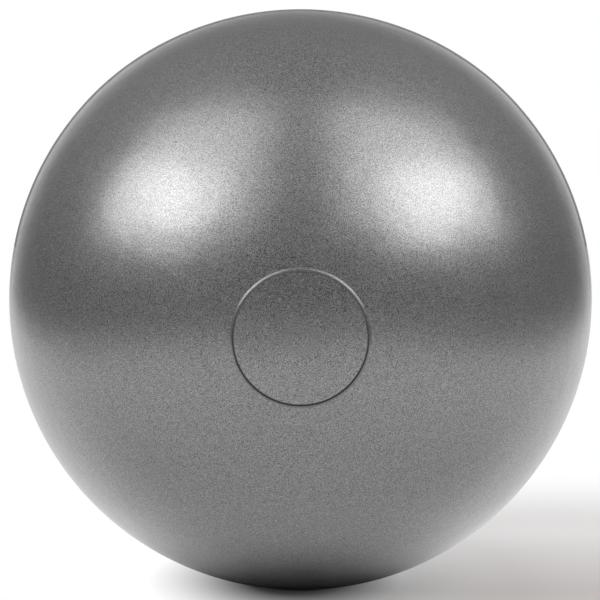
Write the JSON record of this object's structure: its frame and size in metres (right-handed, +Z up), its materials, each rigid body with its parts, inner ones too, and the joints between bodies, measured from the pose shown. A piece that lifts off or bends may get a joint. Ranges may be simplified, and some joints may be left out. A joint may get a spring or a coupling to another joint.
{
  "type": "exercise ball",
  "caption": "Soft inflated exercise ball on a small settled foot, with a raised disc on its front and a push-in fill plug in a bonded valve seat at its back.",
  "frame": {"origin": "middle of the flat foot, on the floor", "axes": "+Z up; the raised disc looks along -Y; the fill valve is at the back, on +Y; +X is to the right of someone who looks at the disc"},
  "size_m": [0.6498, 0.6503, 0.6455],
  "materials": {
    "skin": "satin",
    "seat": "satin",
    "plug": "satin"
  },
  "bodies": {
    "ball": {"ball_skin": "skin", "valve_seat": "seat"},
    "plug": {"valve_plug": "plug"}
  },
  "joints": [
    {"name": "plug_pull", "type": "slide", "parent": "ball", "child": "plug", "axis": [0, 1, 0], "range_m": [0, 0.04]}
  ]
}
